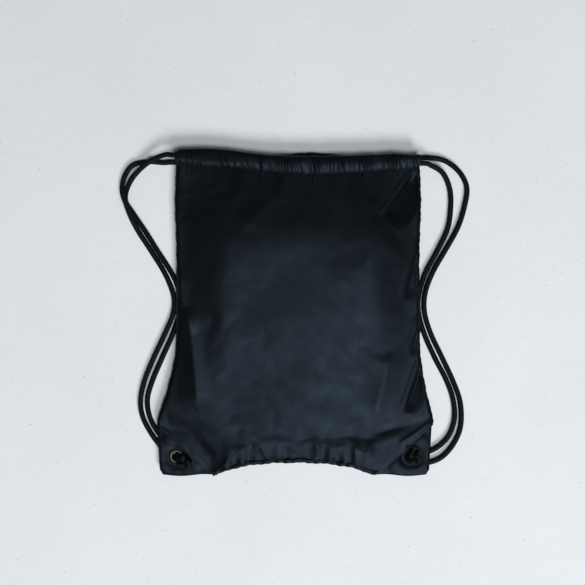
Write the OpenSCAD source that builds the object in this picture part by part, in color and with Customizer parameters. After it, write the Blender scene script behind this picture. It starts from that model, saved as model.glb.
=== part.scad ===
// Drawstring backpack, lying flat on its back.
// X runs across the bag, +Y runs to the gathered mouth, +Z points up from the surface it lies on.
// The origin is under the middle of the bag, on that surface. All sizes are in millimetres.

/* [Bag] */
// Width across the bottom corners
bag_w = 356; // [340:1:372]
// Length from the bottom corners to the top of the gathered mouth
bag_h = 420; // [410:1:430]
// Distance from the middle to the left end of the gathered mouth
mouth_left = 154; // [150:1:158]
// Distance from the middle to the right end of the gathered mouth
mouth_right = 161; // [158:1:164]
// Thickness of a cloth panel, with its loft
cloth_t = 1.6; // [1.2:0.1:2]
// Rise of the front panel over the back panel in the empty bag
pouch_h = 14.6; // [14.2:0.1:15.2]

/* [Casing] */
// Height of the casing that the cords run in
casing_h = 23; // [22:0.5:25]
// Thickness of the casing's cloth walls
casing_wall = 0.9; // [0.7:0.1:1]
// How far the middle of the mouth droops below its ends
mouth_droop = 6.4; // [4:0.1:7]

/* [Cords] */
// Diameter of the braided cords
cord_d = 7; // [6:0.5:7]
// Distance between the two cords that lie side by side in a casing
lane_gap = 8; // [7.6:0.1:8]
// Number of flats round a cord
cord_sides = 10; // [8:1:12]

/* [Grommets] */
// Outside diameter of a grommet's flange
flange_d = 18.5; // [17:0.5:19]
// Diameter of a grommet's hole
grommet_bore_d = 10; // [9:0.5:10.5]
// Thickness of the sewn stack that a grommet clamps
patch_t = 3; // [2.6:0.1:3.2]

/* [Hidden] */

$fn = 48;
cord_r = cord_d / 2;
thread_t = 0.4;
thread_w = 0.8;
play = 0.4;                        // clearance over and under a cord in its casing
side_play = 1;                     // clearance beside the cords in a casing
fit = 0.3;                         // gap between pieces of different moving groups
half_w = bag_w / 2;
half_h = bag_h / 2;

// Heights of the layers
seam_z0 = 8.2;                     // underside of the side seams, over the cords
seam_z1 = 13.6;
patch_z0 = 8.1;
patch_z1 = patch_z0 + patch_t;
washer_t = 0.8;
flange_t = 1.5;
tunnel_h = cord_d + 2 * play;
casing_t = tunnel_h + 2 * casing_wall;
tunnel_half = lane_gap / 2 + cord_r + side_play;
front_lane_z = pouch_h + casing_wall + play + cord_r;
back_lane_z = casing_wall + play + cord_r;

// The casing droops between its ends and leans a little to the right
mouth_mid = (mouth_left + mouth_right) / 2;
mouth_tilt = 1.5;
casing_y0 = half_h - casing_h / 2 - mouth_droop - mouth_tilt;
function casing_y(x) = casing_y0 + mouth_droop * pow(x / mouth_mid, 2) - mouth_tilt * x / mouth_mid;

// The bottom edge arches up between the corner patches
bottom_mid = -195;
bottom_arch = 14;
bottom_half = 102;
bottom_seam_w = 7;
function bottom_y(x) = bottom_mid - bottom_arch * pow(x / bottom_half, 2);

// Right half of each side's outline, from the casing down to the bottom corner.
// The side is straight to the hip and flares from there to the corner.
seam_w = 6;
seam_top = 183.6;
hip_y = -45;
corner_y = -141;
function side_edge(mouth) = [
    [mouth, seam_top], [mouth, hip_y], [mouth + 4, -75], [(mouth + half_w) / 2 + 2, -107], [half_w, corner_y]
];

// Grommet centres, which are also the axes that the sides fold about
left_pivot = [-153, -187];
right_pivot = [151, -187];

// Corner patches, as three corners: the side, the outer corner and the bottom
patch_top = corner_y - 2;
patch_tip = 104;
function patch_points(side) = [
    [side * half_w, patch_top], [side * (half_w - 5), -half_h], [side * patch_tip, -half_h]
];
// Height of a patch's slanting edge at a distance from the middle, and where a panel meets it
function patch_edge(x) = patch_top - (half_h + patch_top) * (half_w - x) / (half_w - patch_tip);
patch_gap = 0.6;
panel_corner = half_w - seam_w - fit;
panel_foot = 112;

// Routes of the strands, each from its grommet to the end of the casing: x, y, height.
left_upper_run = [
    [-158, -188, 3.5], [-170, -179, 3.5], [-185, -160, 3.5], [-197, -137, 3.5], [-200, -115, 3.5],
    [-195, -90, 3.5], [-183, -60, 3.5], [-169, -30, 3.5], [-158, -3, 3.5], [-157, 20, 3.5],
    [-168, 49, 3.5], [-187, 80, 3.5], [-203, 105, 6], [-214, 128, 10], [-219, 148, 11.2],
    [-214, 167, 7.8], [-202, 183, 9.4], [-185, 196, 12.6], [-167, 203, 17.2]
];
left_lower_run = [
    [-151, -182, 3.5], [-162, -172, 3.5], [-177, -157, 3.5], [-188, -137, 3.5], [-191, -113, 3.5],
    [-184, -88, 3.5], [-172, -60, 3.5], [-157.5, -27, 3.5], [-149, 2, 3.5], [-149, 24, 3.5],
    [-159, 49, 3.5], [-178, 79, 3.5], [-193, 103, 3.5], [-210, 128, 3.5], [-222, 148, 3.5],
    [-223, 169, 3.5], [-212, 189, 3.5], [-192, 195, 3.5], [-170, 194, 3.7]
];
right_upper_run = [
    [158, -193, 3.5], [172, -196, 3.5], [191, -189, 3.5], [207, -171, 3.5], [216, -148, 3.5],
    [215.5, -118, 3.5], [206, -90, 3.5], [192, -60, 3.5], [177, -28, 3.5], [169, 0, 3.5],
    [170, 25, 3.5], [180, 52, 3.5], [196, 80, 3.5], [212, 109, 3.5], [221, 137, 3.5],
    [224, 162, 3.5], [214, 182, 3.5], [196, 196, 3.5], [176, 200, 3.9]
];
right_lower_run = [
    [157, -184, 3.5], [170, -183, 3.5], [187, -175, 3.5], [201, -160, 3.5], [208, -138, 3.5],
    [206, -113, 3.5], [197, -88, 3.5], [182.5, -60, 3.5], [168.5, -28, 3.5], [161, 0, 3.5],
    [162, 25, 3.5], [171, 52, 3.5], [186, 80, 3.5], [199, 108, 3.5], [203, 135, 3.5],
    [202, 159, 4], [193, 179, 8], [177, 189, 14.5]
];

// How far inside the casing's far end a cord turns back, and the bow of that turn
turn_inset = 14;
turn_bow = 7;
run_xs = [-90, 0, 90];

// A cord's way through the casings: in through one, round the far end and back through the other
function lane(x, high, z) = [x, casing_y(x) + (high ? 0.5 : -0.5) * lane_gap, z];
function casing_pass(side, near_x, far_x, high_first, z_first, z_last) = concat(
    [lane(near_x, high_first, z_first)],
    [for (i = [0 : 2]) lane(-side * run_xs[i], high_first, z_first)],
    [lane(far_x, high_first, z_first)],
    [lane(far_x - side * turn_bow * 0.7, high_first, (z_first * 0.85 + z_last * 0.15)),
     [far_x - side * turn_bow, casing_y(far_x), (z_first + z_last) / 2],
     lane(far_x - side * turn_bow * 0.7, !high_first, (z_first * 0.15 + z_last * 0.85))],
    [lane(far_x, !high_first, z_last)],
    [for (i = [2 : -1 : 0]) lane(-side * run_xs[i], !high_first, z_last)],
    [lane(near_x, !high_first, z_last)]
);
function backwards(list) = [for (i = [len(list) - 1 : -1 : 0]) list[i]];
left_route = concat(
    left_upper_run,
    casing_pass(-1, -mouth_left, mouth_right - turn_inset, true, front_lane_z, back_lane_z),
    backwards(left_lower_run)
);
right_route = concat(
    right_upper_run,
    casing_pass(1, mouth_right, -mouth_left + turn_inset, true, back_lane_z, front_lane_z),
    backwards(right_lower_run)
);

// A tube swept along a route, with frames carried from one ring to the next
function unit(v) = v / norm(v);
function tangent(path, i) = unit(path[min(i + 1, len(path) - 1)] - path[max(i - 1, 0)]);
function square_to(v, t) = unit(v - (v * t) * t);
function normals(path) = [
    for (i = 0, n = square_to([0, 0, 1], tangent(path, 0)); i < len(path);
        i = i + 1, n = square_to(n, tangent(path, min(i, len(path) - 1)))) n
];

module tube(path, radius, sides) {
    last = len(path) - 1;
    side_normals = normals(path);
    rings = [
        for (i = [0 : last], k = [0 : sides - 1])
            path[i] + radius * (cos(360 * k / sides) * side_normals[i]
                + sin(360 * k / sides) * cross(tangent(path, i), side_normals[i]))
    ];
    skin = [
        for (i = [0 : last - 1], k = [0 : sides - 1])
            let (a = i * sides + k, b = i * sides + (k + 1) % sides)
                each [[a, a + sides, b], [b, a + sides, b + sides]]
    ];
    polyhedron(
        points = rings,
        faces = concat(
            skin,
            [[for (k = [0 : sides - 1]) k]],
            [[for (k = [sides - 1 : -1 : 0]) last * sides + k]]
        )
    );
}

// A band that follows the casing, from x0 to x1, between two distances from its middle line
module casing_band(x0, x1, low, high) {
    steps = 8;
    xs = [for (i = [0 : steps]) x0 + (x1 - x0) * i / steps];
    polygon(concat(
        [for (x = xs) [x, casing_y(x) + low]],
        [for (i = [steps : -1 : 0]) [xs[i], casing_y(xs[i]) + high]]
    ));
}

// One casing: a flat sleeve, with the wall that faces the mouth cut short at both ends for the turns
module casing(z, facing_z) {
    wall_cut = turn_inset + turn_bow;
    difference() {
        translate([0, 0, z])
            linear_extrude(casing_t)
                casing_band(-mouth_left, mouth_right, -casing_h / 2, casing_h / 2);
        translate([0, 0, z + casing_wall])
            linear_extrude(tunnel_h)
                casing_band(-mouth_left - 1, mouth_right + 1, -tunnel_half, tunnel_half);
        for (end = [[-mouth_left - 1, -mouth_left + wall_cut], [mouth_right - wall_cut, mouth_right + 1]])
            translate([0, 0, facing_z - 0.1])
                linear_extrude(casing_wall + 0.2)
                    casing_band(end[0], end[1], -tunnel_half, tunnel_half);
    }
}

// Top edge of a panel, just under its casing
function panel_top(x) = casing_y(x) - casing_h / 2 - fit;

// Outline of a panel: inside the side seams, above the bottom seam and clear of the corner patches
module panel_outline() {
    inset = seam_w + fit;
    right = side_edge(mouth_right);
    left = side_edge(mouth_left);
    arch_steps = 6;
    corner = [for (x = [panel_corner, panel_foot]) [x, patch_edge(x) + patch_gap]];
    polygon(concat(
        [for (p = right) [p[0] - inset, p[1] > 0 ? panel_top(mouth_right) : p[1]]],
        corner,
        [for (i = [arch_steps : -1 : -arch_steps])
            let (x = bottom_half * i / arch_steps) [x, bottom_y(x) + bottom_seam_w + fit]],
        [for (p = backwards(corner)) [-p[0], p[1]]],
        [for (i = [len(left) - 1 : -1 : 1]) [inset - left[i][0], left[i][1]]],
        [[inset - mouth_left, panel_top(-mouth_left)]],
        [for (i = [-5 : 5]) let (x = i * 25) [x, panel_top(x)]]
    ));
}

// A panel's thickness: flat in the middle, and sloping at its sides to the height of the side seams
module panel_section(middle_z, rim_z, slope_in, slope_out) {
    low = [
        [-half_w, rim_z], [-mouth_left + slope_out, rim_z], [-mouth_left + slope_in, middle_z],
        [mouth_right - slope_in, middle_z], [mouth_right - slope_out, rim_z], [half_w, rim_z]
    ];
    translate([0, half_h, 0])
        rotate([90, 0, 0])
            linear_extrude(bag_h)
                polygon(concat(low, [for (i = [5 : -1 : 0]) low[i] + [0, cloth_t]]));
}

module panel(middle_z, rim_z, slope_in, slope_out) {
    intersection() {
        linear_extrude(pouch_h + casing_t)
            panel_outline();
        panel_section(middle_z, rim_z, slope_in, slope_out);
    }
}

module back_panel()
    color([0.12, 0.14, 0.17])
        panel(0, seam_z0 + 0.4, 24, 11);

module front_panel()
    color([0.14, 0.16, 0.2])
        panel(pouch_h, seam_z1 - cloth_t, 24, 11);

module back_casing()
    color([0.09, 0.11, 0.14])
        casing(0, casing_t - casing_wall);

module front_casing()
    color([0.1, 0.12, 0.15])
        casing(pouch_h, pouch_h);

// A side seam: the joined edges of the two panels, as a ribbon along the side
module side_seam(side, mouth) {
    edge = side_edge(mouth);
    translate([0, 0, seam_z0])
        linear_extrude(seam_z1 - seam_z0)
            polygon(concat(
                [for (p = edge) [side * p[0], p[1]]],
                [for (i = [len(edge) - 1 : -1 : 0]) [side * (edge[i][0] - seam_w), edge[i][1]]]
            ));
}

module left_side_seam()
    color([0.08, 0.09, 0.11])
        side_seam(-1, mouth_left);

module right_side_seam()
    color([0.08, 0.09, 0.11])
        side_seam(1, mouth_right);

module bottom_band(half_x, low, high) {
    steps = 6;
    xs = [for (i = [-steps : steps]) half_x * i / steps];
    polygon(concat(
        [for (x = xs) [x, bottom_y(x) + low]],
        [for (i = [2 * steps : -1 : 0]) [xs[i], bottom_y(xs[i]) + high]]
    ));
}

module bottom_seam()
    color([0.1, 0.11, 0.14])
        linear_extrude(pouch_h)
            bottom_band(bottom_half, 0, bottom_seam_w);

// A corner patch: the sewn stack of panels and reinforcement, with the grommet's hole
module corner_patch(side, pivot) {
    difference() {
        translate([0, 0, patch_z0])
            linear_extrude(patch_t)
                polygon(patch_points(side));
        translate([pivot[0], pivot[1], patch_z0 - 1])
            cylinder(h = patch_t + 2, r = grommet_bore_d / 2 + 1);
    }
}

module left_corner_patch()
    color([0.15, 0.17, 0.21])
        corner_patch(-1, left_pivot);

module right_corner_patch()
    color([0.15, 0.17, 0.21])
        corner_patch(1, right_pivot);

// A grommet: a rounded flange on top and a barrel through the patch
module grommet(pivot) {
    bore_r = grommet_bore_d / 2;
    translate([pivot[0], pivot[1], 0])
        rotate_extrude()
            union() {
                translate([bore_r, patch_z0 - washer_t])
                    square([1, patch_t + washer_t + flange_t]);
                translate([bore_r + 0.5, patch_z1])
                    square([flange_d / 2 - bore_r - 0.5 - flange_t / 2, flange_t]);
                translate([flange_d / 2 - flange_t / 2, patch_z1 + flange_t / 2])
                    circle(d = flange_t);
            }
}

module left_grommet()
    color([0.35, 0.34, 0.33])
        grommet(left_pivot);

module right_grommet()
    color([0.35, 0.34, 0.33])
        grommet(right_pivot);

module grommet_washer(pivot) {
    translate([pivot[0], pivot[1], patch_z0 - washer_t])
        difference() {
            cylinder(h = washer_t, r = flange_d / 2 - 0.5);
            translate([0, 0, -1])
                cylinder(h = washer_t + 2, r = grommet_bore_d / 2 + 1);
        }
}

module left_grommet_washer()
    color([0.3, 0.3, 0.3])
        grommet_washer(left_pivot);

module right_grommet_washer()
    color([0.3, 0.3, 0.3])
        grommet_washer(right_pivot);

module left_cord()
    color([0.05, 0.05, 0.06])
        tube(left_route, cord_r, cord_sides);

module right_cord()
    color([0.05, 0.05, 0.06])
        tube(right_route, cord_r, cord_sides);

// A knot: two turns of cord round a core, beside the grommet and resting on its flange
knot_ring_r = 5;
knot_cord_r = 3.2;
knot_core_r = 6;
knot_z = patch_z1 + flange_t + fit + 6.4;
left_knot_at = [-142, -192.5, knot_z];
right_knot_at = [153.5, -187.5, knot_z];

module knot(at) {
    translate(at)
        rotate_extrude()
            intersection() {
                union() {
                    circle(r = knot_core_r);
                    for (side = [-1, 1])
                        translate([knot_ring_r, side * knot_cord_r])
                            circle(r = knot_cord_r);
                }
                translate([0, -2 * knot_core_r])
                    square([2 * knot_core_r, 4 * knot_core_r]);
            }
}

module left_knot()
    color([0.06, 0.06, 0.07])
        knot(left_knot_at);

module right_knot()
    color([0.06, 0.06, 0.07])
        knot(right_knot_at);

// A neck: the two strands, squeezed side by side, on their way up through the grommet to the knot
neck_r = 2.3;
neck_top = patch_z1 + 0.6;
module cord_neck(pivot, direction) {
    for (side = [-1, 1])
        translate([pivot[0], pivot[1], 0])
            rotate([0, 0, direction])
                translate([0, side * (neck_r + 0.1), patch_z0 - washer_t])
                    cylinder(h = neck_top - patch_z0 + washer_t, r = neck_r);
}

module left_cord_neck()
    color([0.05, 0.05, 0.06])
        cord_neck(left_pivot, 120);

module right_cord_neck()
    color([0.05, 0.05, 0.06])
        cord_neck(right_pivot, 30);

// The cut and sealed ends of a cord, standing out of its knot
tip_r = 3;
tip_l = 5;
tip_start = knot_ring_r + knot_cord_r + 0.1;
module cord_tips(at, angles) {
    translate(at)
        for (angle = angles)
            rotate([0, 0, angle])
                translate([tip_start, 0, 0])
                    rotate([0, 90, 0])
                        cylinder(h = tip_l, r = tip_r);
}

module left_cord_tips()
    color([0.04, 0.04, 0.05])
        cord_tips(left_knot_at, [-20, -75]);

module right_cord_tips()
    color([0.04, 0.04, 0.05])
        cord_tips(right_knot_at, [40, 100]);

// Rows of stitching, each as one line of thread on the cloth
stitch_inset = 1.4;
module casing_stitching(z)
    translate([0, 0, z])
        linear_extrude(thread_t)
            casing_band(-mouth_left + 4, mouth_right - 4, stitch_inset - casing_h / 2,
                stitch_inset + thread_w - casing_h / 2);

module front_casing_stitching()
    color([0.03, 0.03, 0.04])
        casing_stitching(pouch_h + casing_t);

module back_casing_stitching()
    color([0.03, 0.03, 0.04])
        casing_stitching(casing_t);

module bottom_stitching()
    color([0.03, 0.03, 0.04])
        translate([0, 0, pouch_h])
            linear_extrude(thread_t)
                bottom_band(bottom_half - 2, bottom_seam_w - 1 - thread_w, bottom_seam_w - 1);

module patch_stitching(side) {
    corners = patch_points(side);
    middle = (corners[0] + corners[1] + corners[2]) / 3;
    translate([middle[0], middle[1], patch_z1])
        linear_extrude(thread_t)
            difference() {
                scale(0.84)
                    polygon([for (p = corners) p - middle]);
                scale(0.8)
                    polygon([for (p = corners) p - middle]);
            }
}

module left_patch_stitching()
    color([0.03, 0.03, 0.04])
        patch_stitching(-1);

module right_patch_stitching()
    color([0.03, 0.03, 0.04])
        patch_stitching(1);

// A bartack: the dense stitches that lock a side seam's top end, under the casing's opening
bartack = [5, 2.4, 0.5];
module left_bartack()
    color([0.03, 0.03, 0.04])
        translate([0.5 - mouth_left, seam_top - bartack[1] - 1, seam_z1])
            cube(bartack);

module right_bartack()
    color([0.03, 0.03, 0.04])
        translate([mouth_right - bartack[0] - 0.5, seam_top - bartack[1] - 1, seam_z1])
            cube(bartack);

back_panel();
front_panel();
back_casing();
front_casing();
left_side_seam();
right_side_seam();
bottom_seam();
left_corner_patch();
right_corner_patch();
left_grommet();
right_grommet();
left_grommet_washer();
right_grommet_washer();
left_cord();
right_cord();
left_knot();
right_knot();
left_cord_neck();
right_cord_neck();
left_cord_tips();
right_cord_tips();
front_casing_stitching();
back_casing_stitching();
bottom_stitching();
left_patch_stitching();
right_patch_stitching();
left_bartack();
right_bartack();
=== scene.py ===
"""The looks of a drawstring backpack that lies on its back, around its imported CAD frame.

Metres, +Z up. X runs across the bag and +Y runs to the gathered mouth.
"""
import math

import bpy
import numpy as np
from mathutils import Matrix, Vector


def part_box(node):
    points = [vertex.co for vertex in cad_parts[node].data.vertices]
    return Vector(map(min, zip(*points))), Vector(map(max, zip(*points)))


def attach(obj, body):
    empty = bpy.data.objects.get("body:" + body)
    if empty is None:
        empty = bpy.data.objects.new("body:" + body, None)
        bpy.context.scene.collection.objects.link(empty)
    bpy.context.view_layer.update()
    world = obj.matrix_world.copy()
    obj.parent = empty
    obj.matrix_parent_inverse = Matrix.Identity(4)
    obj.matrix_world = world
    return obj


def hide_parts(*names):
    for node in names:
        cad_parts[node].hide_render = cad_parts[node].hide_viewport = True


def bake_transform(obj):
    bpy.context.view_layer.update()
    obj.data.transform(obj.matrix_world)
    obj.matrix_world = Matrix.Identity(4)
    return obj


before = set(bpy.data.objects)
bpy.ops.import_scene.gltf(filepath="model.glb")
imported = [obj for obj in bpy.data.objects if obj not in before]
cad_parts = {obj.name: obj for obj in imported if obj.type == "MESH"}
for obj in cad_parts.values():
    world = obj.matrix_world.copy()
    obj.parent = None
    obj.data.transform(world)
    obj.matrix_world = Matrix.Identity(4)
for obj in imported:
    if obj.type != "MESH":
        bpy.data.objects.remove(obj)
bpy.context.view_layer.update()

# --- sizes that come from the frame
casing_low, casing_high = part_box("front_casing")
back_casing_low, back_casing_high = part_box("back_casing")
patch_low, patch_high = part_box("right_corner_patch")
seam_low, seam_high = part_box("right_side_seam")

MOUTH_LEFT = -casing_low.x
MOUTH_RIGHT = casing_high.x
MOUTH_MID = (MOUTH_LEFT + MOUTH_RIGHT) / 2
HALF_W = patch_high.x
BOTTOM_Y = patch_low.y
PATCH_TOP_Y = patch_high.y
PATCH_TIP = patch_low.x
PATCH_Z = patch_high.z
SEAM_TOP_Y = seam_high.y
ARCH_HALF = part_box("bottom_seam")[1].x
POUCH_Z = casing_low.z
SEAM_Z = (seam_low.z + seam_high.z) / 2
FLANGE_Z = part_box("left_grommet")[1].z

# --- sizes of the cloth and the cords
CASING_HALF = 0.0115
MOUTH_DROOP = 0.0064
MOUTH_TILT = 0.0015
CASING_Y0 = 0.1906
CORD_D = 0.007
LANE_GAP = 0.008
CLOTH_T = 0.0006
SPLIT_X = 0.04          # the cloth is split into strips at this distance from the middle
HIP_Y = -0.045
BOTTOM_MID_Y = -0.195
BOTTOM_ARCH = 0.0145


def smoothstep(t):
    t = np.clip(t, 0.0, 1.0)
    return t * t * (3 - 2 * t)


def bump(x, middle, width):
    return np.exp(-((x - middle) / width) ** 2)


def casing_y(x):
    """Middle line of the casings, which droops between the ends of the mouth."""
    return CASING_Y0 + MOUTH_DROOP * (x / MOUTH_MID) ** 2 - MOUTH_TILT * x / MOUTH_MID


def casing_rise(x):
    """How far the casings' upper edge stands above the even band."""
    return (0.0055 * bump(x, -0.1, 0.05) - 0.0035 * smoothstep((x - 0.125) / 0.035)
            - 0.0035 * bump(x, -MOUTH_LEFT - 0.001, 0.006))


def casing_foot(x):
    """How far the seam under the casings stands above the even band."""
    return 0.0028 * bump(x, -0.155, 0.03) + 0.002 * bump(x, -0.085, 0.035) - 0.0026 * bump(x, 0.035, 0.05)


def bottom_y(x):
    """The bottom edge, which arches up between the corner patches."""
    return BOTTOM_MID_Y - BOTTOM_ARCH * (np.minimum(np.abs(x), PATCH_TIP + 0.002) / PATCH_TIP) ** 2.4


def side_x(y, mouth):
    """Distance of a side's edge from the middle: straight to the hip, and flared below it."""
    flare = np.clip((HIP_Y - y) / (HIP_Y - PATCH_TOP_Y), 0, 1) ** 1.35
    waist = 0.001 * np.sign(mouth - MOUTH_MID) + 0.0014 * bump(y, 0.14, 0.03) - 0.0008 * bump(y, 0.06, 0.04)
    hip = 0.0016 * bump(y, -0.136, 0.02)
    return mouth + (HALF_W - mouth) * flare + waist + hip - 0.0012 * bump(y, PATCH_TOP_Y, 0.006)


def edge_wave(y):
    """The small unevenness of a sewn edge."""
    return 0.0002 * np.sin(y * 700) + 0.0003 * np.sin(y * 263 + 1)


def patch_edge(x):
    """The slanting edge of a corner patch."""
    return PATCH_TOP_Y - (PATCH_TOP_Y - BOTTOM_Y) * (HALF_W - np.abs(x)) / (HALF_W - PATCH_TIP)


# --- camera
VIEW_WIDTH = 0.7558
VIEW_CENTRE = (-0.0026, 0.0252)
LENS = 85
SENSOR = 36


def make_camera():
    """Looks straight down with a long lens."""
    data = bpy.data.cameras.new("camera")
    data.lens = LENS
    data.sensor_width = SENSOR
    data.clip_end = 20
    camera = bpy.data.objects.new("camera", data)
    camera.location = (*VIEW_CENTRE, VIEW_WIDTH * LENS / SENSOR + POUCH_Z)
    bpy.context.collection.objects.link(camera)
    bpy.context.scene.camera = camera


make_camera()
bpy.context.scene.view_settings.view_transform = "Standard"


# --- materials
class Shader:
    """A Principled material and the nodes that feed it."""

    def __init__(self, name, **values):
        self.material = bpy.data.materials.new(name)
        self.material.use_nodes = True
        self.tree = self.material.node_tree
        self.principled = self.tree.nodes["Principled BSDF"]
        for socket, value in values.items():
            self.principled.inputs[socket.replace("_", " ")].default_value = value
        self.place = self.tree.nodes.new("ShaderNodeTexCoord").outputs["Object"]

    def node(self, kind, inputs=(), **settings):
        made = self.tree.nodes.new(kind)
        for key, value in settings.items():
            setattr(made, key, value)
        for socket, value in dict(inputs).items():
            if isinstance(value, bpy.types.NodeSocket):
                self.tree.links.new(value, made.inputs[socket])
            else:
                made.inputs[socket].default_value = value
        return made

    def link(self, value, socket):
        self.tree.links.new(value, self.principled.inputs[socket])

    def noise(self, scale, detail=3.0, place=None, roughness=0.5):
        return self.node("ShaderNodeTexNoise", {
            "Vector": place or self.place, "Scale": scale, "Detail": detail, "Roughness": roughness,
        }).outputs["Fac"]

    def math(self, operation, a, b=0.0):
        return self.node("ShaderNodeMath", {0: a, 1: b}, operation=operation).outputs[0]

    def span(self, value, low, high, to_low=0.0, to_high=1.0):
        return self.node("ShaderNodeMapRange", {
            "Value": value, "From Min": low, "From Max": high, "To Min": to_low, "To Max": to_high,
        }).outputs["Result"]

    def mix(self, factor, a, b):
        return self.node("ShaderNodeMix", {0: factor, 6: a, 7: b}, data_type="RGBA").outputs[2]

    def stretched(self, scale):
        return self.node("ShaderNodeMapping", {"Vector": self.place, "Scale": scale}).outputs["Vector"]

    def bump(self, *layers):
        """Bumps on top of each other, each given as its height and how deep it is, in metres."""
        normal = None
        for height, depth in layers:
            inputs = {"Height": height, "Distance": depth, "Strength": 1.0}
            if normal is not None:
                inputs["Normal"] = normal
            normal = self.node("ShaderNodeBump", inputs).outputs["Normal"]
        self.link(normal, "Normal")


def weave(shader, pitch):
    """Plain weave: warp and weft threads that pass over and under each other."""
    waves = []
    for axis in (0, 1):
        part = shader.node("ShaderNodeSeparateXYZ", {0: shader.place}).outputs[axis]
        waves.append(shader.math("SINE", shader.math("MULTIPLY", part, math.pi / pitch)))
    crossing = shader.math("MULTIPLY", waves[0], waves[1])
    return shader.math("ADD", crossing, 1.0)


def nylon(name, dark, light, roughness, gloss):
    """Satin nylon cloth: fine weave, uneven dye, faint scuffs and soft small wrinkles."""
    shader = Shader(name, Roughness=roughness, Specular_IOR_Level=gloss, Specular_Tint=(0.46, 0.7, 1.0, 1),
                    Sheen_Weight=0.01, Sheen_Roughness=0.45, Sheen_Tint=(0.5, 0.65, 0.85, 1))
    dye = shader.noise(9, 4)
    slub = shader.noise(60, 2, shader.stretched((1, 14, 1)))
    mottle = shader.math("ADD", shader.math("MULTIPLY", dye, 0.7), shader.math("MULTIPLY", slub, 0.3))
    cloth = shader.mix(shader.span(mottle, 0.38, 0.62), dark, light)
    grain = shader.noise(900, 1)
    scuff = shader.span(grain, 0.68, 0.8, 0.0, 0.35)
    shader.link(shader.mix(scuff, cloth, tuple(3 * c for c in light[:3]) + (1,)), "Base Color")
    shader.link(shader.span(shader.noise(45, 3), 0.3, 0.7, roughness - 0.05, roughness + 0.06), "Roughness")
    shader.bump(
        (shader.noise(24, 3), 0.00022),
        (shader.noise(150, 3, roughness=0.6), 0.00008),
        (weave(shader, 0.00055), 0.00001),
    )
    return shader.material


def metal(name):
    """Gun-metal: dark plated steel, slightly uneven, with worn and brighter patches."""
    shader = Shader(name, Metallic=1.0, Roughness=0.4)
    wear = shader.noise(420, 4)
    shader.link(shader.mix(shader.span(wear, 0.5, 0.68), (0.06, 0.059, 0.058, 1), (0.1, 0.098, 0.095, 1)),
                "Base Color")
    shader.link(shader.span(shader.noise(900, 2), 0.3, 0.7, 0.34, 0.46), "Roughness")
    shader.bump((shader.noise(1500, 2), 0.00003))
    return shader.material


def braid_fibre(name, dark, light):
    """The yarn of a round braid: matt fibres with a little fuzz."""
    shader = Shader(name, Roughness=0.62, Specular_IOR_Level=0.15, Specular_Tint=(0.75, 0.87, 1.0, 1))
    hair = shader.noise(2200, 3)
    patch = shader.noise(70, 2)
    tone = shader.math("ADD", shader.math("MULTIPLY", hair, 0.6), shader.math("MULTIPLY", patch, 0.4))
    shader.link(shader.mix(shader.span(tone, 0.36, 0.64), dark, light), "Base Color")
    shader.link(shader.span(hair, 0.3, 0.7, 0.52, 0.72), "Roughness")
    shader.bump((hair, 0.00012), (shader.noise(5200, 1), 0.00004))
    return shader.material


def thread_fibre(name):
    shader = Shader(name, Roughness=0.5, Specular_IOR_Level=0.25, Specular_Tint=(0.5, 0.72, 1.0, 1))
    twist = shader.noise(3000, 2)
    shader.link(shader.mix(twist, (0.003, 0.0033, 0.004, 1), (0.007, 0.008, 0.0095, 1)), "Base Color")
    shader.bump((twist, 0.00006))
    return shader.material


def sealed_tip(name):
    shader = Shader(name, Roughness=0.5, Specular_IOR_Level=0.2, Specular_Tint=(0.75, 0.87, 1.0, 1))
    melt = shader.noise(1200, 4)
    shader.link(shader.mix(melt, (0.002, 0.002, 0.0022, 1), (0.008, 0.008, 0.0085, 1)), "Base Color")
    shader.link(shader.span(melt, 0.3, 0.7, 0.4, 0.6), "Roughness")
    shader.bump((melt, 0.0002))
    return shader.material


def floor_paint(name):
    """A pale painted floor, with faint clouding and a few specks."""
    shader = Shader(name, Roughness=0.72, Specular_IOR_Level=0.25)
    clouding = shader.span(shader.noise(5, 5), 0.3, 0.7)
    cloud = shader.mix(clouding, (0.755, 0.797, 0.85, 1), (0.795, 0.837, 0.88, 1))
    speck = shader.span(shader.noise(420, 0), 0.845, 0.87)
    shader.link(shader.mix(speck, cloud, (0.3, 0.3, 0.3, 1)), "Base Color")
    shader.bump((shader.noise(60, 5), 0.0004))
    return shader.material


NAVY_DARK = (0.0026, 0.0028, 0.003, 1)
NAVY_LIGHT = (0.0038, 0.0042, 0.005, 1)
# The material of each slot of the record.
MATERIALS = {
    "panel_nylon": nylon("panel_cloth", NAVY_DARK, NAVY_LIGHT, 0.38, 0.155),
    "casing_nylon": nylon("casing_cloth", NAVY_DARK, NAVY_LIGHT, 0.42, 0.155),
    "seam_nylon": nylon("seam_cloth", (0.0024, 0.0026, 0.0028, 1), (0.0034, 0.0038, 0.0045, 1), 0.44, 0.16),
    "patch_nylon": nylon("patch_cloth", (0.0028, 0.003, 0.0034, 1), (0.004, 0.0045, 0.0054, 1), 0.42, 0.15),
    "grommet_metal": metal("gun_metal"),
    "cord_braid": braid_fibre("cord_braid_fibre", (0.0014, 0.0015, 0.0017, 1), (0.004, 0.0043, 0.0048, 1)),
    "cord_tip": sealed_tip("cord_tip_melt"),
    "thread": thread_fibre("thread_fibre"),
}


# --- meshes
def unit(v):
    return v / np.maximum(np.linalg.norm(v, axis=-1, keepdims=True), 1e-12)


def distance_along(line):
    """How far each point of a line is from its start, measured along it."""
    return np.concatenate([[0], np.cumsum(np.linalg.norm(np.diff(line, axis=0), axis=1))])


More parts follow.
